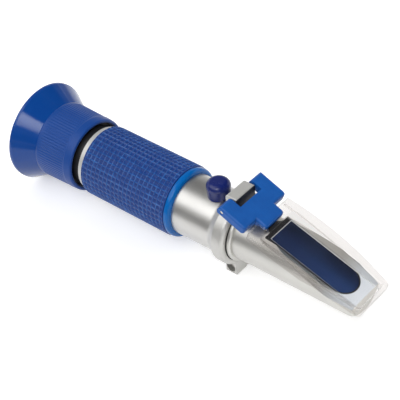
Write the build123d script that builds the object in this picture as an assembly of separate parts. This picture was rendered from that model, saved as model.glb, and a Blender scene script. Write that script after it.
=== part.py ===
from build123d import *
from math import cos, radians, sin, sqrt
import os

# Handheld refractometer, in millimetres.
# While modelling, X runs along the optical axis from the eyecup rim, Y along the hinge pin
# and Z up, with the optical axis at Y = Z = 0. The last lines set the whole instrument on
# the table: the middle of its bounding box over the origin, the eyecup rim touching Z = 0.

# Eyecup
eyecup_rim_radius = 20.2
eyecup_waist_radius = 15.4
eyecup_lip_radius = 15.0
eyecup_flare_length = 10.1
eyecup_band_length = 18.3
eyecup_rim_edge = 1.3
eyecup_skirt_wall = 1.4
eyecup_throat_radius = 9.0
eyecup_floor_radius = 12.0
eyecup_floor_thickness = 1.6
eyecup_seat_station = 9.0

# Focusing parts
focus_ring_length = 16.0
focus_ring_lip_length = 2.0
focus_travel = 1.25
focus_stop_margin = 0.4
snap_ring_width = 0.8
snap_ring_bore_radius = 9.8
tube_flange_length = 2.2
tube_flange_drop = 0.2
tube_length = 24.9
tube_wall = 1.35
tube_lip = 0.8
guide_pin_radius = 0.8
guide_pin_setback = 5.3

# Eyepiece lenses
eye_lens_thickness = 4.6
eye_lens_edge = 2.4
field_lens_thickness = 3.4
field_lens_edge = 1.8
lens_retainer_length = 2.0
lens_spacer_wall = 0.8
lens_margin = 0.9

# Barrel
nose_radius = 11.0
land_radius = 13.1
barrel_radius = 12.1
barrel_bore_radius = 10.0
tube_bore_radius = 9.6
tube_bore_reserve = 2.5
skirt_reach = 1.4
dust_ring_radius = 12.5
dust_ring_reach = 2.3
bare_ring_length = 4.8
bare_barrel_length = 17.7
barrel_flare_length = 3.1
barrel_flare_radius = 14.0
barrel_flare_blend = 2.0
seam_round = 0.15
spigot_radius = 10.9
spigot_length = 1.9

# Grip
grip_length = 41.8
grip_radius = 14.3
grip_edge_round = 0.6
trim_ring_width = 2.5
trim_ring_radius = 13.95
trim_ring_round = 1.4

# Reticle and stop inside the barrel
reticle_station = 50.0
reticle_thickness = 1.5
reticle_ledge_length = 2.0
reticle_ledge_step = 1.0
reticle_ring_length = 2.5
reticle_ring_wall = 1.8
baffle_station = 66.0
baffle_thickness = 1.0
baffle_aperture_radius = 5.0

# Objective and its adjustment
screw_from_trim_ring = 14.0
cell_radius = 8.6
cell_flat_height = 8.2
cell_length = 8.0
cell_wall = 2.0
objective_thickness = 4.0
objective_edge = 2.4
strip_width = 5.0
strip_thickness = 0.4
strip_tab_length = 4.0
strip_length = 16.0
strip_rivet_radius = 0.8
strip_rivet_head_radius = 1.5
strip_rivet_head = 0.5
strip_rivet_depth = 1.2
screw_radius = 1.5
screw_slot_width = 0.6
screw_slot_depth = 0.8
bush_shank_radius = 2.6
bush_head_radius = 3.4
bush_top_height = 16.0
screw_setback = 0.4
cap_radius = 4.75
cap_foot_radius = 4.25
cap_foot_depth = 2.0
cap_top_height = 18.4
cap_wall_over_bush = 0.25
cap_edge_round = 2.4

# Hinge collar
collar_width = 4.75
collar_front_round = 1.7
groove_radius = 11.75
groove_depth = 1.0
seal_gap = 0.1
tab_half_width = 5.3
tab_setback = 1.0
tab_overhang = 1.15
tab_top_height = 19.1
tab_edge_round = 0.6
lug_half_width = 6.6
lug_bottom = 17.6
lug_edge_round = 0.6
clamp_slit = 1.0
clamp_screw_drop = 14.7
clamp_screw_radius = 1.2
clamp_head_radius = 1.95
clamp_head_length = 1.5
clamp_head_recess = 2.6
clamp_end_reach = 0.7

# Prism box
groove_gap = 0.45
flange_radius = 11.5
flange_width = 1.3
flange_round = 0.9
box_radius = 10.2
box_length = 51.2
box_bore_radius = 7.5
box_bore_reach = 7.0
box_tip_half_width = 7.9
box_tip_taper = 9.5
box_tip_round = 1.5
prism_slope = 18.0
prism_from_flange = 16.2
prism_half_width = 5.9
prism_length = 32.5
prism_depth = 4.4
prism_rear_reach = 1.5
seal_width = 0.65
seal_rear_width = 2.0
seal_recess = 0.1

# Cover, measured on the slope: along it from the hinge end of the prism, and up from its face
film_gap = 0.2
pad_half_width = 6.1
pad_start = -1.6
pad_step = 0.4
plate_thickness = 0.9
cover_start = -8.2
cover_tip = 40.4
cover_rear_half_width = 11.7
cover_mid_half_width = 11.1
cover_tip_half_width = 8.8
cover_wall = 1.2
cover_tip_wall = 1.6
cover_corner_round = 1.3
cover_edge_round = 0.5
well_corner_round = 2.0
well_floor_round = 0.7
rail_rear_height = 3.0
rail_mid_height = 5.0
rail_tip_height = 3.2
rail_drop = 0.8
shoulder_length = 4.2

# Hinge block and pin
pin_radius = 0.75
pin_station_back = 20.2
pin_height = 2.9
pin_end_setback = 0.2
knuckle_radius = 2.0
block_tilt = 4.7
block_half_width = 12.0
block_thickness = 3.4
bar_front_reach = 10.65
block_corner_round = 1.2
block_edge_round = 1.0
tongue_half_width = 5.3
tongue_length = 4.75
notch_reach = 3.5

# Fits
running = 0.05
pivot_fit = 0.05
side_play = 0.3
ear_play = 0.7
cap_seat_gap = 0.15
box_play = 0.35

# Stations along the optical axis
waist_station = eyecup_flare_length
lip_station = waist_station + eyecup_band_length
grip_station = lip_station + bare_ring_length
trim_station = grip_station + grip_length
bare_station = trim_station + trim_ring_width
flare_station = bare_station + bare_barrel_length
collar_station = flare_station + barrel_flare_length
collar_end = collar_station + collar_width
flange_station = collar_end + groove_gap
box_station = flange_station + flange_width
box_end = box_station + box_length
floor_station = eyecup_seat_station - eyecup_floor_thickness
ring_front = eyecup_seat_station + focus_ring_length
tube_station = eyecup_seat_station + focus_ring_lip_length + running
tube_front = tube_station + tube_length
snap_station = tube_station + tube_flange_length + running
nose_station = snap_station + snap_ring_width + focus_travel + focus_stop_margin
dust_ring_start = lip_station - skirt_reach
screw_station = bare_station + screw_from_trim_ring
skirt_bore_radius = eyecup_lip_radius - eyecup_skirt_wall
dust_ring_end = lip_station + dust_ring_reach
clamp_station = (collar_station + collar_end) / 2
clamp_head_end = clamp_head_recess + clamp_head_length - lug_half_width

# Eyepiece
tube_radius = tube_bore_radius - running
lens_radius = tube_radius - tube_wall
eye_lens_station = tube_station + tube_lip
retainer_station = tube_front - lens_retainer_length
field_lens_station = retainer_station - field_lens_edge
pin_station = nose_station + guide_pin_setback

# Lens cell; the leaf spring stands with its lower corners on the round wall of the bore
cell_start = screw_station - cell_length / 2
objective_radius = cell_radius - cell_wall
objective_station = screw_station - objective_edge / 2
strip_foot = -sqrt(barrel_bore_radius**2 - (strip_width / 2) ** 2)
strip_start = screw_station - strip_length / 2 - strip_tab_length
rivet_station = strip_start + strip_tab_length / 2

# The slope of the prism face starts where the box is as wide as the prism
slope = radians(prism_slope)
face_station = box_station + prism_from_flange
face_height = sqrt(box_radius**2 - prism_half_width**2)
face = Plane(
    origin=(face_station, 0, face_height),
    x_dir=(cos(slope), 0, -sin(slope)),
    z_dir=(sin(slope), 0, cos(slope)),
)
plate_under = film_gap + pad_step
plate_top = plate_under + plate_thickness

# The hinge block is laid out from its pin, a little steeper than the slope
hinge = face.from_local_coords(Vector(-pin_station_back, 0, pin_height))
block_slope = radians(prism_slope + block_tilt)
block_plane = Plane(
    origin=hinge,
    x_dir=(cos(block_slope), 0, -sin(block_slope)),
    z_dir=(sin(block_slope), 0, cos(block_slope)),
)


def turned(*corners):
    """Revolve a section about the optical axis: corners are (station, radius, rounding)."""
    section = make_face(Polyline(*[(c[0], c[1]) for c in corners], close=True))
    for station, radius, *rounding in corners:
        if rounding:
            corner = section.vertices().sort_by_distance((station, radius, 0))[0]
            section = fillet(corner, rounding[0])
    return revolve(Plane.XZ * section, Axis.X)


def ring(start, end, outer, inner):
    """A plain ring or tube round the optical axis."""
    return turned((start, inner), (start, outer), (end, outer), (end, inner))


def rod(start, end, radius):
    """A solid cylinder on the optical axis."""
    return Pos((start + end) / 2, 0, 0) * Rot(0, 90, 0) * Cylinder(radius, end - start)


def post(station, bottom, top, radius):
    """An upright cylinder over the optical axis."""
    return Pos(station, 0, (bottom + top) / 2) * Cylinder(radius, top - bottom)


def cross_rod(station, height, start, end, radius):
    """A cylinder along Y, from start to end."""
    return Pos(station, (start + end) / 2, height) * Rot(90, 0, 0) * Cylinder(radius, end - start)


def block_between(x0, x1, y0, y1, z0, z1):
    """A block given by its lowest and highest corners."""
    return Pos((x0 + x1) / 2, (y0 + y1) / 2, (z0 + z1) / 2) * Box(x1 - x0, y1 - y0, z1 - z0)


def lens(start, thickness, edge, radius):
    """A lens with equal convex faces inside a flat margin; start is the station of its rim."""
    bulge = (thickness - edge) / 2
    curved = radius - lens_margin
    ball = (curved**2 + bulge**2) / (2 * bulge)
    disc = rod(start, start + edge, radius)
    cheeks = rod(start - bulge, start + edge + bulge, curved)
    cheeks &= Pos(start - bulge + ball, 0, 0) * Sphere(ball)
    cheeks &= Pos(start + edge + bulge - ball, 0, 0) * Sphere(ball)
    return disc + cheeks


def make_eyecup():
    """Rubber cup: flared bowl, a band over the focus ring, and a loose skirt over the dust ring."""
    rim_inner = eyecup_rim_radius - eyecup_rim_edge
    return turned(
        (0, rim_inner, 0.4),
        (0, eyecup_rim_radius, 0.4),
        (eyecup_rim_edge, eyecup_rim_radius, 0.6),
        (waist_station, eyecup_waist_radius, 0.4),
        (lip_station, eyecup_lip_radius, 0.65),
        (lip_station, skirt_bore_radius, 0.5),
        (eyecup_seat_station, skirt_bore_radius),
        (eyecup_seat_station, eyecup_throat_radius),
        (floor_station, eyecup_throat_radius, 0.4),
        (floor_station, eyecup_floor_radius, 1.5),
    )


def make_focus_ring():
    """Hard ring inside the cup: it turns on the barrel's nose and holds the tube's flange."""
    lip_end = eyecup_seat_station + focus_ring_lip_length
    bore = nose_radius + running
    return turned(
        (eyecup_seat_station, eyecup_throat_radius),
        (eyecup_seat_station, skirt_bore_radius),
        (ring_front, skirt_bore_radius),
        (ring_front, bore),
        (lip_end, bore),
        (lip_end, eyecup_throat_radius, 0.4),
    )


def make_snap_ring():
    end = snap_station + snap_ring_width
    return ring(snap_station, end, nose_radius + running, snap_ring_bore_radius)


def make_eyepiece_tube():
    """Flanged lens tube that slides in the barrel, with a slot for the guide pin."""
    flange_end = tube_station + tube_flange_length
    tube = turned(
        (tube_station, lens_radius - tube_lip),
        (tube_station, nose_radius - tube_flange_drop, 0.3),
        (flange_end, nose_radius - tube_flange_drop, 0.3),
        (flange_end, tube_radius),
        (tube_front, tube_radius, 0.3),
        (tube_front, lens_radius),
        (eye_lens_station, lens_radius),
        (eye_lens_station, lens_radius - tube_lip),
    )
    slot_half = guide_pin_radius + running
    run = focus_travel + guide_pin_radius + focus_stop_margin
    slot = block_between(
        pin_station - run, pin_station + run, -slot_half, slot_half, -nose_radius, -lens_radius / 2
    )
    return tube - slot


def make_guide_pin():
    pin = post(pin_station, -nose_radius, -(lens_radius + running), guide_pin_radius)
    return pin & rod(pin_station - 2, pin_station + 2, nose_radius)


def make_lens_spacer():
    start = eye_lens_station + eye_lens_edge
    return ring(start, field_lens_station, lens_radius, lens_radius - lens_spacer_wall)


def make_barrel():
    """The body: threaded nose, land, grip seat, bare front with a flare, and a front spigot."""
    spigot_end = collar_station + spigot_length
    bore_change = tube_front + focus_travel + tube_bore_reserve
    ledge_radius = barrel_bore_radius - reticle_ledge_step
    body = turned(
        (nose_station, tube_bore_radius),
        (nose_station, nose_radius, 0.3),
        (dust_ring_end, nose_radius),
        (dust_ring_end, land_radius, 0.3),
        (grip_station, land_radius),
        (grip_station, barrel_radius),
        (flare_station, barrel_radius, barrel_flare_blend),
        (collar_station, barrel_flare_radius, seam_round),
        (collar_station, spigot_radius),
        (spigot_end, spigot_radius, 0.2),
        (spigot_end, barrel_bore_radius),
        (reticle_station, barrel_bore_radius),
        (reticle_station, ledge_radius),
        (reticle_station - reticle_ledge_length, ledge_radius),
        (reticle_station - reticle_ledge_length, barrel_bore_radius),
        (bore_change, barrel_bore_radius),
        (bore_change, tube_bore_radius),
    )
    body -= post(screw_station, 0, barrel_radius + 1, bush_shank_radius)
    body -= post(pin_station, -nose_radius - 1, 0, guide_pin_radius)
    rivet_end = strip_foot - strip_rivet_depth
    return body - post(rivet_station, rivet_end, 0, strip_rivet_radius)


def make_dust_ring():
    """Dark ring on the nose that closes the gap under the cup's skirt."""
    return turned(
        (dust_ring_start, nose_radius),
        (dust_ring_start, dust_ring_radius, 0.3),
        (dust_ring_end, dust_ring_radius),
        (dust_ring_end, nose_radius),
    )


def make_grip():
    return turned(
        (grip_station, barrel_radius),
        (grip_station, grip_radius, grip_edge_round),
        (trim_station, grip_radius, grip_edge_round),
        (trim_station, barrel_radius),
    )


def make_trim_ring():
    return turned(
        (trim_station, barrel_radius),
        (trim_station, trim_ring_radius, 0.5),
        (bare_station, trim_ring_radius, trim_ring_round),
        (bare_station, barrel_radius),
    )


def make_reticle():
    return rod(reticle_station, reticle_station + reticle_thickness, barrel_bore_radius)


def make_reticle_ring():
    start = reticle_station + reticle_thickness
    inner = barrel_bore_radius - reticle_ring_wall
    return ring(start, start + reticle_ring_length, barrel_bore_radius, inner)


def make_baffle():
    end = baffle_station + baffle_thickness
    return ring(baffle_station, end, barrel_bore_radius, baffle_aperture_radius)


def make_objective_cell():
    """Lens cell with a flat above for the screw and a flat below for the leaf spring."""
    start, end = cell_start, cell_start + cell_length
    stop = objective_radius - 0.6
    cell = turned(
        (start, objective_radius),
        (start, cell_radius, 0.3),
        (end, cell_radius, 0.3),
        (end, stop),
        (objective_station + objective_edge, stop),
        (objective_station + objective_edge, objective_radius),
    )
    reach = cell_radius + 1
    return cell & block_between(start, end, -reach, reach, -cell_flat_height, cell_flat_height)


def make_bimetal_strip():
    """Two-metal leaf, bowed so that its crown carries the lens cell."""
    bend = strip_start + strip_tab_length
    end = bend + strip_length
    crown = -cell_flat_height - strip_thickness
    rise = strip_thickness
    side = make_face(
        [
            Line((strip_start, strip_foot), (bend, strip_foot)),
            ThreePointArc((bend, strip_foot), ((bend + end) / 2, crown), (end, strip_foot)),
            Line((end, strip_foot), (end, strip_foot + rise)),
            ThreePointArc(
                (end, strip_foot + rise), ((bend + end) / 2, crown + rise), (bend, strip_foot + rise)
            ),
            Line((bend, strip_foot + rise), (strip_start, strip_foot + rise)),
            Line((strip_start, strip_foot + rise), (strip_start, strip_foot)),
        ]
    )
    leaf = extrude(Plane.XZ * side, strip_width / 2, both=True)
    return leaf - post(rivet_station, strip_foot - 1, strip_foot + 1, strip_rivet_radius)


def make_strip_rivet():
    top = strip_foot + strip_thickness
    shank = post(rivet_station, strip_foot - strip_rivet_depth, top, strip_rivet_radius)
    return shank + post(rivet_station, top, top + strip_rivet_head, strip_rivet_head_radius)


def make_screw_bush():
    """Threaded boss for the calibration screw, seated on the round barrel."""
    inside = sqrt(barrel_bore_radius**2 - bush_shank_radius**2)
    head = post(screw_station, 0, bush_top_height, bush_head_radius)
    head -= rod(cell_start, cell_start + cell_length, barrel_radius)
    bush = head + post(screw_station, inside, bush_top_height, bush_shank_radius)
    return bush - post(screw_station, 0, bush_top_height + 1, screw_radius + running)


def make_calibration_screw():
    top = bush_top_height - screw_setback
    screw = post(screw_station, cell_flat_height + running, top, screw_radius)
    slot = block_between(
        screw_station - screw_slot_width / 2,
        screw_station + screw_slot_width / 2,
        -screw_radius - 1,
        screw_radius + 1,
        top - screw_slot_depth,
        top + 1,
    )
    return screw - slot


def make_screw_cap():
    """Domed rubber cap, narrower at its foot, cut to the round of the barrel."""
    seat = barrel_radius + cap_seat_gap
    foot = seat - cap_foot_depth
    half = make_face(
        Polyline(
            (0, 0),
            (cap_foot_radius, 0),
            (cap_foot_radius, foot),
            (cap_radius, cap_top_height),
            (0, cap_top_height),
            close=True,
        )
    )
    edge = half.vertices().sort_by_distance((cap_radius, cap_top_height, 0))[0]
    half = fillet(edge, cap_edge_round)
    cap = Pos(screw_station, 0, 0) * revolve(Plane.XZ * half, Axis.Z)
    cap -= turned(
        (screw_station - 2 * cap_radius, 0),
        (screw_station - 2 * cap_radius, seat),
        (flare_station, seat, barrel_flare_blend),
        (collar_station, barrel_flare_radius + cap_seat_gap),
        (collar_station, 0),
    )
    hollow = bush_top_height + cap_wall_over_bush
    return cap - post(screw_station, 0, hollow, bush_head_radius + running)


def make_collar():
    """Split clamp ring with the hinge tab above and two lugs below."""
    body = turned(
        (collar_station, 0),
        (collar_station, barrel_flare_radius, seam_round),
        (collar_end, barrel_flare_radius, collar_front_round),
        (collar_end, 0),
    )
    tab_end = collar_end + tab_overhang
    tab = block_between(
        collar_station + tab_setback, tab_end, -tab_half_width, tab_half_width, 0, tab_top_height
    )
    tab = fillet(tab.faces().sort_by(Axis.Z)[-1].edges(), tab_edge_round)
    lugs = block_between(collar_station, collar_end, -lug_half_width, lug_half_width, -lug_bottom, 0)
    lugs = fillet(lugs.faces().sort_by(Axis.Z)[0].edges().filter_by(Axis.X), lug_edge_round)
    body += tab + lugs
    groove_start = collar_end - groove_depth
    body -= turned(
        (collar_station - 1, 0),
        (collar_station - 1, spigot_radius),
        (groove_start, spigot_radius),
        (groove_start, groove_radius),
        (tab_end + 1, groove_radius),
        (tab_end + 1, 0),
    )
    slit = clamp_slit / 2
    body -= block_between(
        collar_station - 1, collar_end + 1, -slit, slit, -lug_bottom - 1, -spigot_radius / 2
    )
    body -= cross_rod(hinge.X, hinge.Z, -lug_half_width, lug_half_width, pin_radius + pivot_fit)
    body -= clamp_rod(-lug_half_width, lug_half_width, clamp_screw_radius)
    return body - clamp_rod(-lug_half_width - 1, clamp_head_end, clamp_head_radius)


def clamp_rod(start, end, radius):
    """A cylinder on the clamp screw's axis."""
    return cross_rod(clamp_station, -clamp_screw_drop, start, end, radius)


def make_clamp_screw():
    """Socket-head screw, sunk in the near lug and showing its end behind the far one."""
    head_start = clamp_head_end - clamp_head_length
    head = clamp_rod(head_start, clamp_head_end, clamp_head_radius)
    socket = clamp_rod(head_start - 1, head_start + clamp_head_length / 2, clamp_screw_radius)
    return head - socket + clamp_rod(clamp_head_end, lug_half_width + clamp_end_reach, clamp_screw_radius)


def make_neck_seal():
    return ring(
        collar_end - groove_depth,
        collar_end - seal_gap,
        groove_radius - seal_gap,
        spigot_radius,
    )


def prism_outline(margin, rear_margin):
    """Bar with one round end, on the prism face."""
    half = prism_half_width + margin
    start = -prism_rear_reach - rear_margin
    straight = prism_length - prism_half_width
    bar = Pos((start + straight) / 2, 0) * Rectangle(straight - start, 2 * half)
    return bar + Pos(straight, 0) * Circle(half)


def make_prism():
    return face * extrude(prism_outline(0, 0), -prism_depth)


def make_prism_seal():
    frame = prism_outline(seal_width, seal_rear_width) - prism_outline(0, 0)
    return face * Pos(0, 0, -seal_recess) * extrude(frame, seal_recess - prism_depth)


def make_prism_box():
    """Round neck and body cut off along the slope, with a pocket for the prism."""
    neck_start = collar_station + spigot_length + seal_gap
    body = turned(
        (neck_start, 0),
        (neck_start, spigot_radius),
        (flange_station, spigot_radius),
        (flange_station, flange_radius),
        (box_station, flange_radius, flange_round),
        (box_station, box_radius),
        (box_end, box_radius, box_tip_round),
        (box_end, 0),
    )
    reach = 2 * box_radius
    plan = make_face(
        Polyline(
            (0, -reach),
            (box_end - box_tip_taper, -reach),
            (box_end - box_tip_taper, -box_radius),
            (box_end, -box_tip_half_width),
            (box_end, box_tip_half_width),
            (box_end - box_tip_taper, box_radius),
            (box_end - box_tip_taper, reach),
            (0, reach),
            close=True,
        )
    )
    body &= extrude(plan, reach, both=True)
    above = block_between(-2 * box_length, 2 * box_length, -reach, reach, 0, reach)
    body -= face * above
    body -= face * extrude(prism_outline(seal_width, seal_rear_width), -prism_depth)
    return body - rod(neck_start - 1, face_station + box_bore_reach, box_bore_radius)


def cover_plan(inset, start, end):
    """Outline of the cover seen square to the prism face, drawn in by inset."""
    middle = (cover_start + cover_tip) / 2
    rear_half = cover_rear_half_width - inset
    mid_half = cover_mid_half_width - inset
    tip_half = cover_tip_half_width - inset
    outline = make_face(
        [
            Line((cover_start, -rear_half), (cover_start, rear_half)),
            ThreePointArc((cover_start, rear_half), (middle, mid_half), (cover_tip, tip_half)),
            Line((cover_tip, tip_half), (cover_tip, -tip_half)),
            ThreePointArc((cover_tip, -tip_half), (middle, -mid_half), (cover_start, -rear_half)),
        ]
    )
    window = Pos((start + end) / 2, 0) * Rectangle(end - start, 4 * cover_rear_half_width)
    return outline & window


def make_cover_plate():
    """Clear tray: a thin floor with a contact pad, crowned side rails, and rear shoulders."""
    outline = cover_plan(0, cover_start, cover_tip)
    outline = fillet(outline.vertices().group_by(Axis.X)[-1], cover_corner_round)
    tray = Pos(0, 0, -rail_drop) * extrude(outline, rail_mid_height + rail_drop)
    middle = (cover_start + cover_tip) / 2
    crown = make_face(
        [
            ThreePointArc(
                (cover_start, rail_rear_height), (middle, rail_mid_height), (cover_tip, rail_tip_height)
            ),
            Line((cover_tip, rail_tip_height), (cover_tip, -rail_drop)),
            Line((cover_tip, -rail_drop), (cover_start, -rail_drop)),
            Line((cover_start, -rail_drop), (cover_start, rail_rear_height)),
        ]
    )
    tray &= extrude(Plane.XZ * crown, 2 * cover_rear_half_width, both=True)
    tray = fillet(tray.faces().sort_by(Axis.Z)[-1].edges(), cover_edge_round)
    shoulder_end = cover_start + shoulder_length
    well = extrude(cover_plan(cover_wall, shoulder_end, cover_tip - cover_tip_wall), rail_mid_height)
    well = fillet(well.edges().filter_by(Axis.Z), well_corner_round)
    well = fillet(well.faces().sort_by(Axis.Z)[0].edges(), well_floor_round)
    tray -= Pos(0, 0, plate_top) * well
    seat_half = tongue_half_width + side_play
    seat_end = shoulder_end + well_corner_round
    tray -= block_between(
        cover_start - 1, seat_end, -seat_half, seat_half, plate_top, 2 * rail_mid_height
    )
    under = cover_plan(cover_wall, cover_start - 1, cover_tip - cover_tip_wall)
    hollow = Pos(0, 0, -rail_drop) * extrude(under, plate_under + rail_drop)
    pad_end = cover_tip - cover_tip_wall
    hollow -= block_between(pad_start, pad_end, -pad_half_width, pad_half_width, film_gap, plate_under)
    tray -= hollow
    clearance = rod(-2 * box_length, 2 * box_end, box_radius + box_play)
    clearance &= face * block_between(
        -2 * box_length, 2 * box_length, -2 * box_radius, 2 * box_radius, -4 * box_radius, film_gap
    )
    return face * tray - clearance


def slab(start, end, half):
    """Block in the hinge block's plane, its corners and top edges rounded."""
    bottom = knuckle_radius - block_thickness
    body = block_between(start, end, -half, half, bottom, knuckle_radius)
    body = fillet(body.edges().filter_by(Axis.Z), block_corner_round)
    return fillet(body.faces().sort_by(Axis.Z)[-1].edges(), block_edge_round)


def make_hinge_block():
    """Moulded block: two ears round the pin, a cross bar, and a tongue on the cover."""
    tongue_front = bar_front_reach + tongue_length
    bar = slab(-2 * knuckle_radius, bar_front_reach, block_half_width)
    side = Circle(knuckle_radius)
    side += Pos(tongue_front / 2, knuckle_radius - block_thickness / 2) * Rectangle(
        tongue_front, block_thickness
    )
    bar &= extrude(Plane.XZ * side, 2 * block_half_width, both=True)
    notch_half = tab_half_width + ear_play
    notch_depth = 2 * block_thickness
    bar -= block_between(
        -notch_depth, notch_reach, -notch_half, notch_half, -notch_depth, notch_depth
    )
    tongue = slab(bar_front_reach - tongue_length, tongue_front, tongue_half_width)
    block = block_plane * (bar + tongue)
    under_plate = block_between(cover_start, 0, -block_half_width, block_half_width, -plate_top, plate_top)
    block -= face * under_plate
    return block - cross_rod(hinge.X, hinge.Z, -2 * block_half_width, 2 * block_half_width, pin_radius)


def make_hinge_pin():
    half = block_half_width - pin_end_setback
    return cross_rod(hinge.X, hinge.Z, -half, half, pin_radius)


parts = {
    "eyecup": make_eyecup(),
    "focus_ring": make_focus_ring(),
    "snap_ring": make_snap_ring(),
    "eyepiece_tube": make_eyepiece_tube(),
    "eye_lens": lens(eye_lens_station, eye_lens_thickness, eye_lens_edge, lens_radius),
    "lens_spacer": make_lens_spacer(),
    "field_lens": lens(field_lens_station, field_lens_thickness, field_lens_edge, lens_radius),
    "lens_retainer": ring(retainer_station, tube_front, lens_radius, lens_radius - lens_spacer_wall),
    "guide_pin": make_guide_pin(),
    "barrel": make_barrel(),
    "dust_ring": make_dust_ring(),
    "grip_sleeve": make_grip(),
    "trim_ring": make_trim_ring(),
    "reticle": make_reticle(),
    "reticle_ring": make_reticle_ring(),
    "light_baffle": make_baffle(),
    "objective_cell": make_objective_cell(),
    "objective_lens": lens(objective_station, objective_thickness, objective_edge, objective_radius),
    "bimetal_strip": make_bimetal_strip(),
    "strip_rivet": make_strip_rivet(),
    "screw_bush": make_screw_bush(),
    "calibration_screw": make_calibration_screw(),
    "screw_cap": make_screw_cap(),
    "hinge_collar": make_collar(),
    "clamp_screw": make_clamp_screw(),
    "neck_seal": make_neck_seal(),
    "prism_box": make_prism_box(),
    "prism": make_prism(),
    "prism_seal": make_prism_seal(),
    "cover_plate": make_cover_plate(),
    "hinge_block": make_hinge_block(),
    "hinge_pin": make_hinge_pin(),
}

tip = parts["cover_plate"].bounding_box().max.X
table = Pos(-tip / 2, 0, eyecup_rim_radius)

os.makedirs("parts", exist_ok=True)
for name, solid in parts.items():
    export_step(table * solid, f"parts/{name}.step")
print("overall length", round(tip, 3))
print("hinge pin at", round(hinge.X - tip / 2, 4), round(hinge.Z + eyecup_rim_radius, 4))
print("calibration screw at", round(screw_station - tip / 2, 4))
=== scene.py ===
import math

import bmesh
import bpy
from mathutils import Matrix, Vector


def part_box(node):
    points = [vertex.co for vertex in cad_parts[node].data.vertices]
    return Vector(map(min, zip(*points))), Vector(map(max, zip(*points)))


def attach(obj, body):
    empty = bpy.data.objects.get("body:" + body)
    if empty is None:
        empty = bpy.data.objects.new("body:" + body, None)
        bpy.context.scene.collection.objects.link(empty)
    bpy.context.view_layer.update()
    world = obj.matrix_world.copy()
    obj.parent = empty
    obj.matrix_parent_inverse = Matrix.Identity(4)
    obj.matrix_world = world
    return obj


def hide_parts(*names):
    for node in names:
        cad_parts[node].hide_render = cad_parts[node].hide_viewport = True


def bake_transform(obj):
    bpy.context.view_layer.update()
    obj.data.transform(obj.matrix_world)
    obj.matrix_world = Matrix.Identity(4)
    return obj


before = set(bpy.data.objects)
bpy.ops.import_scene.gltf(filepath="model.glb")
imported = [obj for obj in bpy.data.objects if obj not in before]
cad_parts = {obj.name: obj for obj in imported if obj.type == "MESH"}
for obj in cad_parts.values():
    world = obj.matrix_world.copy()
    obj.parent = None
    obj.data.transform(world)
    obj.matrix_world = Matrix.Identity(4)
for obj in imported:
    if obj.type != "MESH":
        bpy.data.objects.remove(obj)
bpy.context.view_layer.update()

MM = 0.001

# The prism face: its slope, and the station and height over the axis at which its outline starts
SLOPE = math.radians(18)
FACE_STATION, FACE_HEIGHT = 121.0, 8.32

# Stations along the instrument, in millimetres from the eyecup's rim
FLARE_END, BAND_START = 9.6, 11.2
LAND_END = 33.0
# Station up to which the milled slope carries painted shadow from the hinge block's tongue
TONGUE_SHADE_END = 117.7
SLOPE_MIDDLE, PRISM_ROUND, PRISM_TIP, SLOPE_END = 140.0, 142.0, 150.0, 151.0

rim_low, rim_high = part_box("eyecup")
EYE_END = rim_low.x
AXIS_HEIGHT = (rim_low.z + rim_high.z) / 2


def station(distance):
    """Row X of a distance in millimetres from the eyecup's rim."""
    return EYE_END + distance * MM


def linear(red, green, blue):
    """Linear colour of a screen colour given in steps of 255."""
    def one(step):
        share = step / 255
        return share / 12.92 if share <= 0.04045 else ((share + 0.055) / 1.055) ** 2.4

    return (one(red), one(green), one(blue), 1.0)


# Shader maths


class Value:
    """One socket of a node graph, usable in sums and products."""

    def __init__(self, graph, socket):
        self.graph = graph
        self.socket = socket

    def maths(self, operation, *terms):
        """Adds a Math node; gives its result."""
        return self.graph.node("ShaderNodeMath", {"operation": operation}, dict(enumerate(terms)))

    def __add__(self, other):
        return self.maths("ADD", self, other)

    def __sub__(self, other):
        return self.maths("SUBTRACT", self, other)

    def __mul__(self, other):
        return self.maths("MULTIPLY", self, other)

    def __radd__(self, other):
        return self.maths("ADD", other, self)

    def __rsub__(self, other):
        return self.maths("SUBTRACT", other, self)

    def __rmul__(self, other):
        return self.maths("MULTIPLY", other, self)

    def __pow__(self, power):
        return self.maths("POWER", self, power)

    def root(self):
        return self.maths("SQRT", self)

    def step(self, low, high):
        """0 below low, 1 above high, smooth between."""
        settings = {"interpolation_type": "SMOOTHSTEP"}
        return self.graph.node("ShaderNodeMapRange", settings, {0: self, 1: low, 2: high})


class Graph:
    """Nodes of a material or of the world."""

    def __init__(self, owner):
        owner.use_nodes = True
        self.nodes = owner.node_tree.nodes
        self.links = owner.node_tree.links

    def node(self, kind, settings=None, inputs=None, out=0):
        """Adds a node, makes its settings, then feeds its sockets; gives one of its outputs."""
        made = self.nodes.new(kind)
        for name, setting in (settings or {}).items():
            setattr(made, name, setting)
        for key, fed in (inputs or {}).items():
            self.feed(made.inputs[key], fed)
        return Value(self, made.outputs[out])

    def feed(self, socket, fed):
        if isinstance(fed, Value):
            self.links.new(fed.socket, socket)
        else:
            socket.default_value = fed


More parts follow.
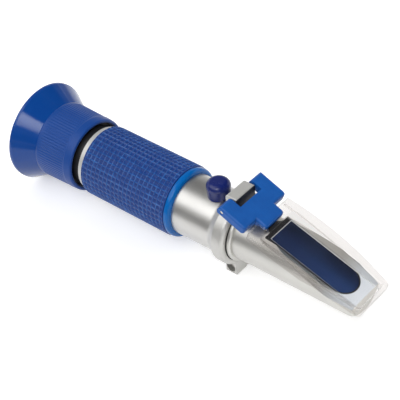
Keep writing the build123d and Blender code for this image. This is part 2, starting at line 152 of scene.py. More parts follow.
class Finish(Graph):
    """A node material being built; base is its Principled shader."""

    def __init__(self, name):
        self.material = bpy.data.materials.new(name)
        super().__init__(self.material)
        self.base = self.nodes["Principled BSDF"]
        self.out = self.nodes["Material Output"]

    def set(self, **sockets):
        """Feeds sockets of the Principled shader, named with underscores for spaces."""
        for name, fed in sockets.items():
            self.feed(self.base.inputs[name.replace("_", " ")], fed)
        return self

    def fed(self, name):
        """What feeds a socket of the Principled shader so far."""
        return Value(self, self.base.inputs[name].links[0].from_socket)

    def place(self):
        return self.node("ShaderNodeTexCoord", out="Object")

    def across(self):
        """X, Y and height over the optical axis, in metres."""
        x = self.node("ShaderNodeSeparateXYZ", {}, {0: self.place()}, out="X")
        parts = x.socket.node.outputs
        return x, Value(self, parts["Y"]), Value(self, parts["Z"]) - AXIS_HEIGHT

    def radius(self):
        x, y, z = self.across()
        return (y * y + z * z).root()

    def noise(self, size, detail=2.0, rough=0.5, stretch=None):
        """Noise of about the given size in metres, from 0 to 1."""
        place = self.place()
        if stretch:
            place = self.node("ShaderNodeVectorMath", {"operation": "MULTIPLY"}, {0: place, 1: stretch})
        inputs = {"Vector": place, "Scale": 1 / size, "Detail": detail, "Roughness": rough}
        return self.node("ShaderNodeTexNoise", {}, inputs, out="Fac")

    def mix(self, share, one, other):
        return self.node("ShaderNodeMix", {"data_type": "RGBA"}, {0: share, 6: one, 7: other}, out=2)

    def bump(self, height, depth, strength):
        """Normal from a height of 0 to 1 that stands for depth metres."""
        inputs = {"Strength": strength, "Distance": depth, "Height": height}
        return self.node("ShaderNodeBump", {}, inputs, out="Normal")

    def worn(self, size, low, high):
        """Mask of soft worn patches."""
        return self.noise(size, 4.0, 0.62).step(low, high)


def rubber(name, colour, pale, rough, shine=0.3):
    """Moulded rubber: fine skin grain, cloudy colour, slightly uneven shine."""
    finish = Finish(name)
    cloud = finish.noise(0.006, 3.0)
    fine = finish.noise(0.00012, 2.0)
    share = cloud * 0.5 + fine * 0.22
    return finish.set(
        Base_Color=finish.mix(share, colour, pale),
        Roughness=rough + (cloud - 0.5) * 0.10 + (fine - 0.5) * 0.05,
        Specular_IOR_Level=shine,
        Normal=finish.bump(fine, 0.00001, 0.5),
    )


def satin_metal(name, colour, shade, rough, grain, depth):
    """Turned or blasted alloy: fine grain, faint handling marks, cloudy shine."""
    finish = Finish(name)
    fine = finish.noise(grain, 2.0, 0.6)
    cloud = finish.noise(0.009, 3.0)
    marks = finish.worn(0.004, 0.60, 0.72)
    return finish.set(
        Base_Color=finish.mix(cloud * 0.6 + fine * 0.3, colour, shade),
        Metallic=1.0,
        Roughness=rough + (cloud - 0.5) * 0.08 + marks * 0.05,
        Normal=finish.bump(fine, depth, 0.6),
    )


def eyecup_rubber():
    """Soft blue rubber: polished on the flare, dull on the ribbed band."""
    finish = Finish("eyecup_rubber")
    x, y, z = finish.across()
    band = x.step(station(FLARE_END), station(BAND_START))
    cloud = finish.noise(0.006, 3.0)
    fine = finish.noise(0.00012, 2.0)
    smear = finish.worn(0.007, 0.45, 0.75)
    return finish.set(
        Base_Color=finish.mix(cloud * 0.5 + fine * 0.2, linear(2, 60, 136), linear(8, 70, 148)),
        Roughness=0.10 + band * 0.34 + smear * 0.05 + (fine - 0.5) * 0.04,
        Specular_IOR_Level=0.36,
        Sheen_Weight=0.22,
        Sheen_Roughness=0.35,
        Normal=finish.bump(fine, 0.000008, 0.4),
    )


def grip_rubber():
    """Lattice rubber: the ridges are painted paler than the floors of the cells, a painted highlight
    that is patchy like wear.
    """
    finish = Finish("grip_rubber")
    crest = finish.radius().step(13.98 * MM, 14.29 * MM)
    cloud = finish.noise(0.005, 3.0)
    fine = finish.noise(0.00013, 2.0)
    wear_and_highlight = finish.worn(0.003, 0.35, 0.7)
    floor = finish.mix(cloud, linear(2, 46, 116), linear(8, 58, 132))
    # Ridge colour: a painted highlight, paler in patches of wear
    ridge = finish.mix(wear_and_highlight, linear(14, 72, 146), linear(40, 98, 172))
    return finish.set(
        Base_Color=finish.mix(crest * (0.65 + 0.35 * wear_and_highlight), floor, ridge),
        Roughness=0.60 - crest * 0.36 + (fine - 0.5) * 0.08,
        Specular_IOR_Level=0.45,
        Sheen_Weight=0.35,
        Sheen_Roughness=0.35,
        Normal=finish.bump(fine, 0.00001, 0.5),
    )


def moulded_plastic(name, colour, pale, rough, grain, depth, shine=0.5):
    """Moulded plastic: cloudy colour and a fine skin grain."""
    finish = Finish(name)
    cloud = finish.noise(0.004, 3.0)
    fine = finish.noise(grain, 3.0)
    return finish.set(
        Base_Color=finish.mix(cloud * 0.6 + fine * 0.25, colour, pale),
        Roughness=rough + (cloud - 0.5) * 0.08 + (fine - 0.5) * 0.06,
        Specular_IOR_Level=shine,
        Normal=finish.bump(fine, depth, 0.6),
    )


def barrel_alloy():
    """Satin turned alloy, paler and duller on the bare ring behind the grip."""
    finish = satin_metal(
        "barrel_alloy", linear(210, 209, 206), linear(198, 197, 194), 0.37, 0.00018, 0.000004
    )
    x, y, z = finish.across()
    ahead = x.step(station(LAND_END - 0.1), station(LAND_END + 0.1))
    return finish.set(
        Metallic=0.45 + ahead * 0.55,
        Roughness=finish.fed("Roughness") + (1 - ahead) * 0.1,
    )


def collar_casting():
    """Blasted casting; the tab is paler on top, and its front in the notch carries painted shade from
    the hinge block.
    """
    finish = satin_metal(
        "collar_casting", linear(212, 211, 208), linear(188, 187, 183), 0.46, 0.00020, 0.00003
    )
    x, y, z = finish.across()
    tab_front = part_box("hinge_collar")[1].x
    # skin: painted shade, dark and dull, on the tab's front face in the notch under the hinge block
    skin = x.step(tab_front - 0.15 * MM, tab_front - 0.05 * MM) * z.step(14.0 * MM, 14.6 * MM)
    top = z.step(18.6 * MM, 19.0 * MM)
    return finish.set(
        Base_Color=finish.mix(skin, finish.fed("Base Color"), linear(40, 42, 48)),
        Metallic=0.86 - skin * 0.6 - top * 0.4,
    )


def box_alloy():
    """Blasted alloy, with a milled slope that is brighter toward the tip, painted shade on its near
    strip beside the prism, and painted shadow of the block's tongue behind the prism.
    """
    finish = satin_metal(
        "box_alloy", linear(210, 209, 205), linear(196, 195, 191), 0.40, 0.00022, 0.00001
    )
    x, y, z = finish.across()
    ahead, above = x - station(FACE_STATION), z - FACE_HEIGHT * MM
    over_slope = above * math.cos(SLOPE) + ahead * math.sin(SLOPE)
    milled = over_slope.step(-0.06 * MM, -0.02 * MM)
    cutter_marks = finish.noise(0.0012, 2.0, 0.5, (4.0, 0.4, 1.0))
    plain = finish.mix(cutter_marks, linear(176, 176, 172), linear(158, 159, 156))
    bright = finish.mix(cutter_marks, linear(212, 220, 227), linear(196, 205, 213))
    slope = finish.mix(x.step(station(SLOPE_MIDDLE), station(SLOPE_END)), plain, bright)
    # Painted shade on the near strip of the slope beside the prism, for the dark that the clear rail
    # bends into view
    near_side = y.step(-8.2 * MM, -7.4 * MM) * (1 - y.step(-5.0 * MM, 0.0))
    painted_shade_beside_prism = near_side * (1 - x.step(station(PRISM_ROUND), station(PRISM_TIP - 1)))
    slope = finish.mix(painted_shade_beside_prism, slope, linear(84, 92, 98))
    # Painted shadow of the hinge block's tongue: the slope behind this station is painted near black
    past_tongue_shade = x.step(station(TONGUE_SHADE_END - 0.2), station(TONGUE_SHADE_END + 0.2))
    slope = finish.mix(past_tongue_shade, linear(30, 32, 36), slope)
    return finish.set(
        Base_Color=finish.mix(milled, finish.fed("Base Color"), slope),
        Metallic=1.0 - milled * 0.75,
        Roughness=finish.fed("Roughness") + milled * 0.08,
    )


def dark_prism():
    """Polished dark blue glass block under the cover, paler toward the tip and darker toward the far
    side.
    """
    finish = Finish("dark_prism")
    cloud = finish.noise(0.006, 3.0)
    dust = finish.noise(0.0005, 2.0).step(0.66, 0.80)
    x, y, z = finish.across()
    toward_tip = x.step(station(FACE_STATION), station(PRISM_TIP))
    near = finish.mix(toward_tip, linear(18, 32, 64), linear(28, 50, 92))
    darker_far_side = finish.mix(y.step(-3.5 * MM, 5.0 * MM), near, linear(9, 18, 38))
    return finish.set(
        Base_Color=finish.mix(dust * 0.2 + cloud * 0.12, darker_far_side, linear(70, 90, 130)),
        Roughness=0.14 + cloud * 0.10 + dust * 0.2,
        Specular_IOR_Level=0.25,
    )


def clear(name, tint, rough, ior, straight=0.0, edge_shade=None):
    """Clear moulding or lens: lamps, and the straight share of all light, pass it unbent.

    Seen edge on it bends light like solid plastic, darkened to its edge tint, a painted shade for the
    dark that its walls bend into view.
    """
    finish = Finish(name)
    haze = finish.noise(0.003, 3.0)
    finish.set(
        Base_Color=edge_shade or tint,
        Roughness=rough + haze * 0.02,
        IOR=ior,
        Transmission_Weight=1.0,
    )
    open_way = finish.node("ShaderNodeBsdfTransparent", {}, {"Color": tint})
    lamp = finish.node("ShaderNodeLightPath", out="Is Shadow Ray")
    edge_on = finish.node("ShaderNodeLayerWeight", {}, {"Blend": 0.5}, out="Facing")
    unbent = lamp.maths("MAXIMUM", lamp, straight * (1 - edge_on**4))
    mixed = finish.node(
        "ShaderNodeMixShader", {}, {0: unbent, 1: Value(finish, finish.base.outputs[0]), 2: open_way}
    )
    finish.feed(finish.out.inputs["Surface"], mixed)
    return finish


def frosted():
    """Ground edge of a clear moulding, which catches light from all sides."""
    finish = Finish("frosted_edge")
    grain = finish.noise(0.0002, 2.0)
    return finish.set(
        Base_Color=finish.mix(grain, linear(214, 216, 216), linear(190, 194, 196)),
        Roughness=0.5 + grain * 0.15,
        Transmission_Weight=0.35,
    )


def prism_putty():
    """Dark sealing compound round the prism, greyer in patches along the far side."""
    finish = rubber("prism_putty", linear(16, 17, 20), linear(34, 36, 40), 0.5)
    x, y, z = finish.across()
    far_side_grey = y.step(5.6 * MM, 6.0 * MM) * (0.7 + 0.3 * finish.worn(0.003, 0.4, 0.6))
    return finish.set(Base_Color=finish.mix(far_side_grey, finish.fed("Base Color"), linear(104, 108, 108)))


clear_cover = clear("clear_cover", (0.965, 0.945, 0.935, 1.0), 0.0, 1.49)
# The rail's dark edge tint is a painted shade for the dark that its walls bend into view
clear_rail = clear(
    "clear_rail", (0.93, 0.918, 0.910, 1.0), 0.20, 1.45, 0.95, (0.50, 0.49, 0.48, 1.0)
)
frosted_edge = frosted()
lens_glass = clear("lens_glass", (0.96, 0.98, 0.98, 1.0), 0.0, 1.52)
cap_rubber = rubber("cap_rubber", linear(8, 26, 92), linear(14, 34, 108), 0.26, 0.5)
seal_rubber = rubber("seal_rubber", linear(16, 17, 20), linear(34, 36, 40), 0.55)
trim_blue = moulded_plastic(
    "trim_blue", linear(1, 92, 168), linear(4, 104, 182), 0.14, 0.0004, 0.000006, 0.26
)
hinge_blue = moulded_plastic(
    "hinge_blue", linear(2, 72, 150), linear(16, 98, 182), 0.42, 0.0006, 0.00009, 0.4
)
black_alloy = moulded_plastic(
    "black_alloy", linear(20, 20, 22), linear(34, 34, 36), 0.42, 0.0003, 0.00001
)
bright_steel = satin_metal(
    "bright_steel", linear(205, 204, 200), linear(180, 178, 172), 0.22, 0.0003, 0.000006
)
turned_brass = satin_metal(
    "turned_brass", linear(205, 170, 98), linear(186, 148, 80), 0.26, 0.0003, 0.000006
)

nodes_by_finish = (
    (barrel_alloy(), "barrel"),
    (collar_casting(), "hinge_collar"),
    (box_alloy(), "prism_box"),
    (dark_prism(), "prism"),
    (prism_putty(), "prism_seal"),
    (clear_cover, "cover_plate"),
    (trim_blue, "trim_ring"),
    (hinge_blue, "hinge_block"),
    (cap_rubber, "screw_cap"),
    (seal_rubber, "neck_seal"),
    (lens_glass, "eye_lens", "field_lens", "reticle", "objective_lens"),
    (bright_steel, "hinge_pin", "clamp_screw", "snap_ring", "guide_pin", "bimetal_strip", "strip_rivet"),
    (turned_brass, "objective_cell", "screw_bush", "calibration_screw"),
    (black_alloy, "dust_ring", "focus_ring", "eyepiece_tube", "lens_spacer", "lens_retainer"),
    (black_alloy, "reticle_ring", "light_baffle"),
)
for finish, *nodes in nodes_by_finish:
    for node in nodes:
        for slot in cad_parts[node].material_slots:
            slot.material = finish.material


# Turned pieces


def rounded(corners, steps=5):
    """Closed section from (distance, radius, rounding) corners, each rounding cut into steps."""
    line = []
    count = len(corners)
    for index, corner in enumerate(corners):
        here = Vector(corner[:2])
        size = corner[2] if len(corner) > 2 else 0
        if not size:
            line.append(tuple(here))
            continue
        before = (Vector(corners[index - 1][:2]) - here).normalized()
        after = (Vector(corners[(index + 1) % count][:2]) - here).normalized()
        half = before.angle(after) / 2
        centre = here + (before + after).normalized() * (size / math.sin(half))
        first = here + before * (size / math.tan(half))
        last = here + after * (size / math.tan(half))
        for step in range(steps + 1):
            share = step / steps
            arm = (first - centre).lerp(last - centre, share)
            line.append(tuple(centre + arm.normalized() * size))
    return line


def filled(line, longest, low, high):
    """The line again, with points added so that no step between low and high passes longest."""
    out = []
    for index, here in enumerate(line):
        after = line[(index + 1) % len(line)]
        out.append(here)
        inside = low - 0.01 <= here[0] <= high + 0.01 and low - 0.01 <= after[0] <= high + 0.01
        gap = math.dist(here, after)
        if inside and gap > longest:
            parts = math.ceil(gap / longest)
            for step in range(1, parts):
                share = step / parts
                out.append(tuple(a + (b - a) * share for a, b in zip(here, after)))
    return out


def new_piece(name, points, faces, finishes, kinds, sharp_angle):
    """Mesh object with outward normals, smooth apart from edges over sharp_angle degrees."""
    mesh = bpy.data.meshes.new(name)
    mesh.from_pydata(points, [], faces)
    for finish in finishes:
        mesh.materials.append(finish.material)
    if kinds:
        mesh.polygons.foreach_set("material_index", kinds)
    mesh.polygons.foreach_set("use_smooth", [True] * len(faces))
    piece = bpy.data.objects.new(name, mesh)
    bpy.context.scene.collection.objects.link(piece)
    shell = bmesh.new()
    shell.from_mesh(mesh)
    bmesh.ops.recalc_face_normals(shell, faces=shell.faces)
    shell.to_mesh(mesh)
    shell.free()
    mesh.set_sharp_from_angle(angle=math.radians(sharp_angle))
    return piece


def strip(first, second, count):
    """Faces between two closed loops of count points that start at the given indexes."""
    faces = []
    for index in range(count):
        beside = (index + 1) % count
        faces.append((first + index, first + beside, second + beside, second + index))
    return faces


def turned_piece(name, line, angles, relief, finish, body, node):
    """Mesh turned about the optical axis; relief(distance, radius, angle) adds to the radius."""
    points = []
    for angle in angles:
        cosine, sine = math.cos(angle), math.sin(angle)
        for distance, radius in line:
            reach = (radius + relief(distance, radius, angle)) * MM
            points.append((station(distance), reach * cosine, AXIS_HEIGHT + reach * sine))
    rows, columns = len(angles), len(line)
    faces = []
    for row in range(rows):
        faces += strip(row * columns, (row + 1) % rows * columns, columns)
    piece = new_piece(name, points, faces, (finish,), None, 50)
    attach(piece, body)
    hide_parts(node)


RIBS = 86
RIB_STEPS = 8
RIB_DEPTH = 0.15
RIB_START, RIB_END = 11.4, 24.3
BAND_FLOOR = 14.7
# Distance, radius and rounding of each corner of the eyecup's section
EYECUP_SECTION = (
    (0, 18.9, 0.4),
    (0, 20.2, 0.4),
    (1.3, 20.2, 0.6),
    (9.9, 15.25, 0.25),
    (10.5, 15.5, 0.35),
    (24.6, 15.12, 0.2),
    (25.0, 15.25, 0.2),
    (28.4, 14.95, 0.75),
    (28.4, 13.6, 0.5),
    (9.0, 13.6),
    (9.0, 9.0),
    (7.4, 9.0, 0.4),
    (7.4, 12.0, 1.5),
)


def rib_relief(distance, radius, angle):
    """Fine ribs along the band, fading at both ends."""
    if radius < BAND_FLOOR or not RIB_START < distance < RIB_END:
        return 0.0
    fade = min(1.0, (distance - RIB_START) / 0.6, (RIB_END - distance) / 0.3)
    return -RIB_DEPTH * fade * (0.5 - 0.5 * math.cos(RIBS * angle))


def make_eyecup():
    line = filled(rounded(EYECUP_SECTION), 0.7, 10.3, 24.8)
    count = RIBS * RIB_STEPS
    angles = [step * math.tau / count for step in range(count)]
    finish = eyecup_rubber()
    turned_piece("eyecup_skin", line, angles, rib_relief, finish, "eyecup", "eyecup")


GRIP_START, GRIP_END = 33.2, 75.0
GRIP_RADIUS, GRIP_BORE = 14.3, 12.1
CELLS_AROUND = 44
CELL_LENGTH = 2.05
RIDGE_DEPTH = 0.42
RIDGE_HALF = 0.26
FIRST_CELL = 0.35
PLAIN_END = 0.7
CELL_STEPS = (0.0, 0.07, 0.15, 0.26, 0.5, 0.74, 0.85, 0.93)


def ridge(share):
    """Height of the lattice between 0 in a cell and 1 on a ridge, for a place in the cell."""
    away = min(share % 1.0, 1.0 - share % 1.0)
    if away > RIDGE_HALF:
        return 0.0
    return 0.5 + 0.5 * math.cos(math.pi * away / RIDGE_HALF)


def lattice_relief(distance, radius, angle):
    """Cells sunk between the ridges, fading out at the sleeve's ends."""
    if radius < (GRIP_RADIUS + GRIP_BORE) / 2:
        return 0.0
    fade = min(1.0, (distance - GRIP_START - 0.2) / 0.5, (GRIP_END - 0.2 - distance) / 0.5)
    if fade <= 0:
        return 0.0
    along = ridge((distance - GRIP_START) / CELL_LENGTH + FIRST_CELL)
    around = ridge(angle * CELLS_AROUND / math.tau)
    return -RIDGE_DEPTH * fade * (1.0 - max(along, around))


def make_grip():
    stations = []
    for cell in range(math.ceil((GRIP_END - GRIP_START) / CELL_LENGTH) + 1):
        for step in CELL_STEPS:
            place = GRIP_START + (cell - FIRST_CELL + step) * CELL_LENGTH
            if GRIP_START + PLAIN_END < place < GRIP_END - PLAIN_END:
                stations.append((place, GRIP_RADIUS))
    outside = [(GRIP_START, GRIP_RADIUS, 0.6), (GRIP_END, GRIP_RADIUS, 0.6)]
    bore = [(GRIP_END, GRIP_BORE), (GRIP_START, GRIP_BORE)]
    corners = rounded(outside + bore)
    # The stations lie between the six points of the first corner and the second one
    line = corners[:6] + stations + corners[6:]
    turn = math.tau / CELLS_AROUND
    angles = [(cell + step) * turn for cell in range(CELLS_AROUND) for step in CELL_STEPS]
    finish = grip_rubber()
    turned_piece(
        "grip_lattice", line, angles, lattice_relief, finish, "barrel", "grip_sleeve"
    )


# Clear cover, laid out in millimetres along the slope of the prism face, across it and square to it

COVER_START, COVER_TIP = -8.2, 40.4
PLATE_TOP, PLATE_UNDER, PAD_UNDER = 1.5, 0.6, 0.2
RAIL_WALL, TIP_WALL, SHOULDER = 1.2, 1.6, 4.2
# The skirt hangs beside the box, at this distance from the axis, where it stays thick enough
SKIRT_BOTTOM, SKIRT_THIN, SKIRT_FULL = -0.8, 0.25, 0.85
SKIRT_FROM_TIP = 1.5
BOX_CLEARANCE = 10.55
REAR_ROUND, TIP_ROUND, INNER_ROUND = 0.4, 1.3, 2.0
UNDER_REAR = 0.5
BEND_RADIUS, BEND_STEPS = 0.45, 5
# Start, end, half width and height of the contact pad's lower and upper edge
PAD_EDGES = ((-1.35, 38.3, 5.85, PAD_UNDER), (-1.6, 38.6, 6.1, PLATE_UNDER))
PAD_ROUND = 0.3
# Places across the seat of the block's tongue, closest where the shoulders rise beside it
SEAT_PLACES = (0.0, 1.5, 3.0, 4.5, 5.3, 5.45, 5.52, 5.6, 5.68, 5.75, 5.9)
SEAT_EDGE, SEAT_RISE = 5.45, 0.3
SEAT_ON_PAD = 0.4
REAR_STEPS, CORNER_STEPS, SIDE_STEPS, TIP_STEPS = 8, 6, 48, 10


def on_slope(along, across, up):
    """Row place of a point given on the slope in millimetres."""
    x = FACE_STATION + along * math.cos(SLOPE) + up * math.sin(SLOPE)
    z = FACE_HEIGHT - along * math.sin(SLOPE) + up * math.cos(SLOPE)
    return (station(x), across * MM, AXIS_HEIGHT + z * MM)


def bowed(rear, middle, tip):
    """Smooth curve along the cover through its values at the rear, the middle and the tip."""

    def value(along):
        share = (along - COVER_START) / (COVER_TIP - COVER_START)
        from_rear = rear * (1 - share) * (1 - 2 * share)
        from_tip = tip * share * (2 * share - 1)
        return from_rear + 4 * middle * share * (1 - share) + from_tip

    return value


half_width = bowed(11.7, 11.1, 8.8)
rail_height = bowed(3.0, 5.0, 3.2)


def spread(first, last, steps):
    """Even places from first up to, but without, last."""
    return [first + (last - first) * step / steps for step in range(steps)]


def arc(centre_along, centre_across, radius, start, end):
    """Points of a corner from one angle up to, but without, the other."""
    places = []
    for angle in spread(math.radians(start), math.radians(end), CORNER_STEPS):
        along = centre_along + radius * math.cos(angle)
        places.append((along, centre_across + radius * math.sin(angle)))
    return places


def loop(first, last, width, rear_round, tip_round, seat_share=1.0):
    """Closed outline on the slope with as many points in every loop; width gives half its width."""
    rear_corner = width(first + rear_round) - rear_round
    tip_corner = width(last - tip_round) - tip_round
    seat = [place * seat_share for place in SEAT_PLACES]
    half = [(first, across) for across in seat]
    half += [(first, across) for across in spread(seat[-1], rear_corner, REAR_STEPS)[1:]]
    half += arc(first + rear_round, rear_corner, rear_round, 180, 90)
    half += [(along, width(along)) for along in spread(first + rear_round, last - tip_round, SIDE_STEPS)]
    half += arc(last - tip_round, tip_corner, tip_round, 90, 0)
    half += [(last, across) for across in spread(tip_corner, 0, TIP_STEPS)] + [(last, 0.0)]
    return half + [(along, -across) for along, across in reversed(half[1:-1])]


def inset_loop(side, rear, tip, rear_round, tip_round):
    """Outline of the cover drawn in from its sides, its rear and its tip."""

    def width(along):
        return half_width(along) - side

    return loop(COVER_START + rear, COVER_TIP - tip, width, rear_round, tip_round)


def make_cover():
    """Clear tray: crowned rails round a thin floor, two rear shoulders and a contact pad below."""
    outer = inset_loop(0, 0, 0, REAR_ROUND, TIP_ROUND)
    inner = inset_loop(RAIL_WALL, UNDER_REAR, TIP_WALL, UNDER_REAR, INNER_ROUND)
    count = len(outer)
    from_seat = [min(index, count - index) for index in range(count)]
    bends = [math.radians(90 * step / BEND_STEPS) for step in range(BEND_STEPS + 1)]

    def beside_seat(index):
        """0 in the seat of the tongue, 1 beside it."""
        if from_seat[index] >= len(SEAT_PLACES):
            return 1.0
        share = (SEAT_PLACES[from_seat[index]] - SEAT_EDGE) / SEAT_RISE
        share = min(1.0, max(0.0, share))
        return share * share * (3 - 2 * share)

    rises = [beside_seat(index) for index in range(count)]

    def raised(places, heights):
        """Row places of an outline whose points lie at the given heights on the slope."""
        return [on_slope(along, across, up) for (along, across), up in zip(places, heights)]

    # Below: pad, underside, then the skirt that hangs over the sides of the box
    loops = []
    for start, end, half, up in PAD_EDGES:
        edge = loop(start, end, lambda along: half, PAD_ROUND, PAD_ROUND, SEAT_ON_PAD)
        loops.append(raised(edge, [up] * count))
    loops.append(raised(inner, [PLATE_UNDER] * count))
    skirt_in, skirt_low = [], []
    for index, (along, across) in enumerate(outer):
        drop = FACE_HEIGHT - along * math.sin(SLOPE) + SKIRT_BOTTOM * math.cos(SLOPE)
        wall = min(RAIL_WALL, abs(across) - math.sqrt(max(0.0, BOX_CLEARANCE**2 - drop**2)))
        hang = min(1.0, max(0.0, (wall - SKIRT_THIN) / (SKIRT_FULL - SKIRT_THIN)))
        if from_seat[index] < len(SEAT_PLACES) + REAR_STEPS - 1:
            skirt_in.append((along + 0.3, across * 0.98))
            skirt_low.append(PLATE_UNDER)
        elif along > COVER_TIP - SKIRT_FROM_TIP:
            skirt_in.append(inner[index])
            skirt_low.append(PAD_UNDER)
        else:
            side = 1 if across > 0 else -1
            skirt_in.append((along, across - side * (RAIL_WALL + (wall - RAIL_WALL) * hang)))
            skirt_low.append(PAD_UNDER + (SKIRT_BOTTOM - PAD_UNDER) * hang)
    loops.append(raised(skirt_in, skirt_low))
    loops.append(raised(outer, skirt_low))

    # Outside up, over the rail and down to the floor
    tops = []
    for (along, across), rise in zip(outer, rises):
        tops.append(PLATE_TOP + (rail_height(along) - PLATE_TOP) * rise)
    for bend in bends:
        inset = BEND_RADIUS * (1 - math.cos(bend))
        places = inset_loop(inset, inset, inset, max(0.05, REAR_ROUND - inset), TIP_ROUND - inset)
        loops.append(raised(places, [top - BEND_RADIUS * (1 - math.sin(bend)) for top in tops]))
    for bend in reversed(bends):
        back = BEND_RADIUS * (1 - math.cos(bend))
        corner = INNER_ROUND + back
        places = inset_loop(RAIL_WALL - back, SHOULDER - back, TIP_WALL - back, corner, corner)
        drop = BEND_RADIUS * (1 - math.sin(bend))
        heights = []
        for (along, across), rise in zip(places, rises):
            heights.append(PLATE_TOP + (rail_height(along) - PLATE_TOP - drop) * rise)
        loops.append(raised(places, heights))
    for bend in bends:
        inset = BEND_RADIUS * (1 - math.cos(bend))
        corner = INNER_ROUND - inset
        places = inset_loop(RAIL_WALL + inset, SHOULDER + inset, TIP_WALL + inset, corner, corner)
        up = BEND_RADIUS * (1 - math.sin(bend))
        loops.append(raised(places, [PLATE_TOP + up * rise for rise in rises]))

    points = [point for ring in loops for point in ring]
    last = (len(loops) - 1) * count
    faces = [tuple(range(count)), tuple(range(last, last + count))]
    for start in range(0, last, count):
        faces += strip(start, start + count, count)
    # The pad's face and the floor are clear, the pad's edge is frosted, and the rest is rail
    kinds = [0, 0] + [1] * count + [2] * (last - count)
    piece = new_piece("clear_cover", points, faces, (clear_cover, frosted_edge, clear_rail), kinds, 35)
    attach(piece, "cover")
    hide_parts("cover_plate")


# Bimetal leaf under the lens cell

LEAF_START, LEAF_BEND, LEAF_END = 79.5, 83.5, 99.5
LEAF_WIDTH, LEAF_THICKNESS = 5.0, 0.4
LEAF_FOOT, LEAF_RISE = -9.6825, 1.0825
LEAF_STEPS, WIDTH_STEPS = 32, 8
RIVET_HOLE = 0.84


def make_leaf():
    """Bimetal leaf: its ends stay on the barrel and its crown is raised under the lens cell."""
    middle = (LEAF_BEND + LEAF_END) / 2
    half = (LEAF_END - LEAF_BEND) / 2
    side = LEAF_WIDTH / 2
    rivet = (LEAF_START + LEAF_BEND) / 2

    def place_at(distance, across, up):
        away = min(1.0, abs(distance - middle) / half)
        height = LEAF_FOOT + LEAF_RISE * (1 - away * away) + up * LEAF_THICKNESS
        return (station(distance), across * MM, AXIS_HEIGHT + height * MM)

    # The riveted tab: its outline, and the hole seen at the same angles
    outline = [(LEAF_BEND, across) for across in spread(-side, side, WIDTH_STEPS)]
    outline += [(distance, side) for distance in spread(LEAF_BEND, LEAF_START, WIDTH_STEPS)]
    outline += [(LEAF_START, across) for across in spread(side, -side, WIDTH_STEPS)]
    outline += [(distance, -side) for distance in spread(LEAF_START, LEAF_BEND, WIDTH_STEPS)]
    hole = []
    for distance, across in outline:
        angle = math.atan2(across, distance - rivet)
        hole.append((rivet + RIVET_HOLE * math.cos(angle), RIVET_HOLE * math.sin(angle)))
    # The sprung leaf beyond it, with as many points across as the tab's outline has there
    widths = spread(-side, side, WIDTH_STEPS) + [side]
    lengths = spread(LEAF_BEND, LEAF_END, LEAF_STEPS)[1:] + [LEAF_END]
    layer = outline + hole + [(distance, across) for distance in lengths for across in widths]
    points = [place_at(distance, across, up) for up in (0, 1) for distance, across in layer]

    count = len(outline)
    rows = [list(range(len(widths)))]
    rows += [[2 * count + row * len(widths) + i for i in rows[0]] for row in range(len(lengths))]
    pairs = list(zip(rows, rows[1:]))
    flat = strip(0, count, count)
    flat += [(a[i], a[i + 1], b[i + 1], b[i]) for a, b in pairs for i in range(WIDTH_STEPS)]
    rim = [(i, (i + 1) % count) for i in range(WIDTH_STEPS, count)]
    rim += [(count + i, count + (i + 1) % count) for i in range(count)]
    rim += [(a[i], b[i]) for a, b in pairs for i in (0, WIDTH_STEPS)]
    rim += list(zip(rows[-1], rows[-1][1:]))
    above = len(layer)
    faces = flat + [tuple(above + i for i in face) for face in flat]
    faces += [(a, b, above + b, above + a) for a, b in rim]
    piece = new_piece("bimetal_leaf", points, faces, (bright_steel,), None, 40)
    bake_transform(piece)
    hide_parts("bimetal_strip")


make_eyecup()
make_grip()
make_cover()
make_leaf()


# Floor, camera and lights

# The table meets the eyecup's rim and the lower edge of the clamp lugs
RIM_FOOT = station(0.7)
lug_low, lug_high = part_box("hinge_collar")
tilt = math.atan2(lug_low.z, lug_high.x - RIM_FOOT)
floor_mesh = bpy.data.meshes.new("floor")
floor_mesh.from_pydata([(-3, -3, 0), (3, -3, 0), (3, 3, 0), (-3, 3, 0)], [], [(0, 1, 2, 3)])
floor = bpy.data.objects.new("floor", floor_mesh)
floor.matrix_world = Matrix.Translation((RIM_FOOT, 0, -0.05 * MM)) @ Matrix.Rotation(-tilt, 4, "Y")
bpy.context.scene.collection.objects.link(floor)

# Light of the room on the object, and what the floor adds for the camera and in reflections
ROOM_LEVEL = 0.36
FLOOR_LIFT = 0.42
MIRRORED_LIFT = 0.36
floor_finish = Finish("pale_floor")
direct = floor_finish.node("ShaderNodeLightPath")
mirrored = Value(floor_finish, direct.socket.node.outputs["Is Glossy Ray"])
floor_finish.set(
    Base_Color=(0.86, 0.86, 0.86, 1.0),
    Roughness=0.9,
    Specular_IOR_Level=0.0,
    Emission_Color=(1.0, 1.0, 1.0, 1.0),
    Emission_Strength=direct * FLOOR_LIFT + mirrored * MIRRORED_LIFT,
)
floor_mesh.materials.append(floor_finish.material)

PICTURE = 400
FOCAL_PIXELS = 1425.8
SENSOR = 36
camera_right = Vector((0.76296, 0.64258, -0.07068))
camera_up = Vector((-0.38546, 0.53998, 0.74823))
camera_back = Vector((0.51896, -0.54362, 0.65967))
CAMERA_DISTANCE = 0.5342
aim = Vector((station(77.5), 0, AXIS_HEIGHT))
camera_data = bpy.data.cameras.new("camera")
camera_data.sensor_width = SENSOR
camera_data.lens = FOCAL_PIXELS / PICTURE * SENSOR
camera_data.shift_x = 7.93 / PICTURE
camera_data.shift_y = 3.70 / PICTURE
camera_data.clip_start = 0.01
camera_data.clip_end = 50
camera = bpy.data.objects.new("camera", camera_data)
turn = Matrix((camera_right, camera_up, camera_back)).transposed().to_4x4()
camera.matrix_world = Matrix.Translation(aim + camera_back * CAMERA_DISTANCE) @ turn
bpy.context.scene.collection.objects.link(camera)
bpy.context.scene.camera = camera


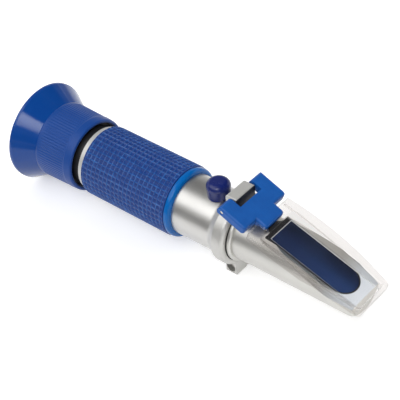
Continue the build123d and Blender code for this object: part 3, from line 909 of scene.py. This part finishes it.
def lamp(name, direction, distance, wide, high, watts):
    """Soft rectangular lamp that faces the instrument."""
    data = bpy.data.lights.new(name, "AREA")
    data.shape = "RECTANGLE"
    data.size = wide
    data.size_y = high
    data.energy = watts
    made = bpy.data.objects.new(name, data)
    way = Vector(direction).normalized()
    made.location = way * distance
    made.rotation_mode = "QUATERNION"
    made.rotation_quaternion = way.to_track_quat("Z", "Y")
    bpy.context.scene.collection.objects.link(made)
    return made


def card(name, middle, facing, wide, high, level):
    """Grey board that only shows in reflections, as photographers hang beside metal."""
    x, y = wide / 2, high / 2
    mesh = bpy.data.meshes.new(name)
    mesh.from_pydata([(-x, -y, 0), (x, -y, 0), (x, y, 0), (-x, y, 0)], [], [(0, 1, 2, 3)])
    board = bpy.data.objects.new(name, mesh)
    board.location = middle
    board.rotation_mode = "QUATERNION"
    board.rotation_quaternion = Vector(facing).to_track_quat("Z", "Y")
    for sight in ("camera", "diffuse", "transmission", "shadow", "volume_scatter"):
        setattr(board, "visible_" + sight, False)
    bpy.context.scene.collection.objects.link(board)
    finish = Finish(name)
    light = finish.node("ShaderNodeEmission", {}, {"Color": (level, level, level, 1.0)})
    finish.feed(finish.out.inputs["Surface"], light)
    mesh.materials.append(finish.material)
    return board


def hung(name, direction, distance, wide, high, level):
    """Board that hangs in the given direction and faces the instrument."""
    way = Vector(direction).normalized()
    return card(name, way * distance, way, wide, high, level)


# Each: name, direction from the instrument, distance, width, height, then watts or brightness
lamp("long_softbox", (-0.30, -0.60, 0.74), 1.2, 1.5, 0.86, 6.9)
lamp("front_softbox", (0.324, -0.61, 0.70), 1.5, 0.50, 0.74, 5.0)
lamp("top_softbox", (0.10, 0.45, 0.90), 1.6, 0.8, 0.8, 8.5).visible_glossy = False
hung("back_board", (-0.45, 0.45, 0.77), 1.3, 2.6, 1.5, 0.27)
hung("back_horizon", (-0.40, 0.95, 0.10), 1.6, 2.6, 0.50, 0.46)
hung("front_horizon", (-0.20, -0.97, 0.14), 1.5, 3.8, 0.62, 0.16)
hung("front_board", (-0.10, -0.72, 0.69), 2.0, 4.8, 2.6, 0.30)
hung("prism_board", (0.06, 0.56, 0.83), 1.1, 0.9, 1.0, 0.05).visible_transmission = True
hung("side_board", (0.65, 0.05, 0.76), 1.7, 3.4, 3.2, 0.10)
card("lying_board", (-0.1, -0.40, 0.004), (0, 0, 1), 1.4, 0.63, 0.28)  # flat on the table

world = bpy.data.worlds.new("studio")
bpy.context.scene.world = world
sky = Graph(world)
seen = sky.node("ShaderNodeLightPath")
rays = seen.socket.node.outputs
seen = seen.maths("MAXIMUM", seen, Value(sky, rays["Is Glossy Ray"]))
seen = seen.maths("MAXIMUM", seen, Value(sky, rays["Is Transmission Ray"]))
background = sky.nodes["Background"]
sky.feed(background.inputs["Color"], (1.0, 1.0, 1.0, 1.0))
sky.feed(background.inputs["Strength"], ROOM_LEVEL + (1.0 - ROOM_LEVEL) * seen)

bpy.context.scene.view_settings.view_transform = "Standard"
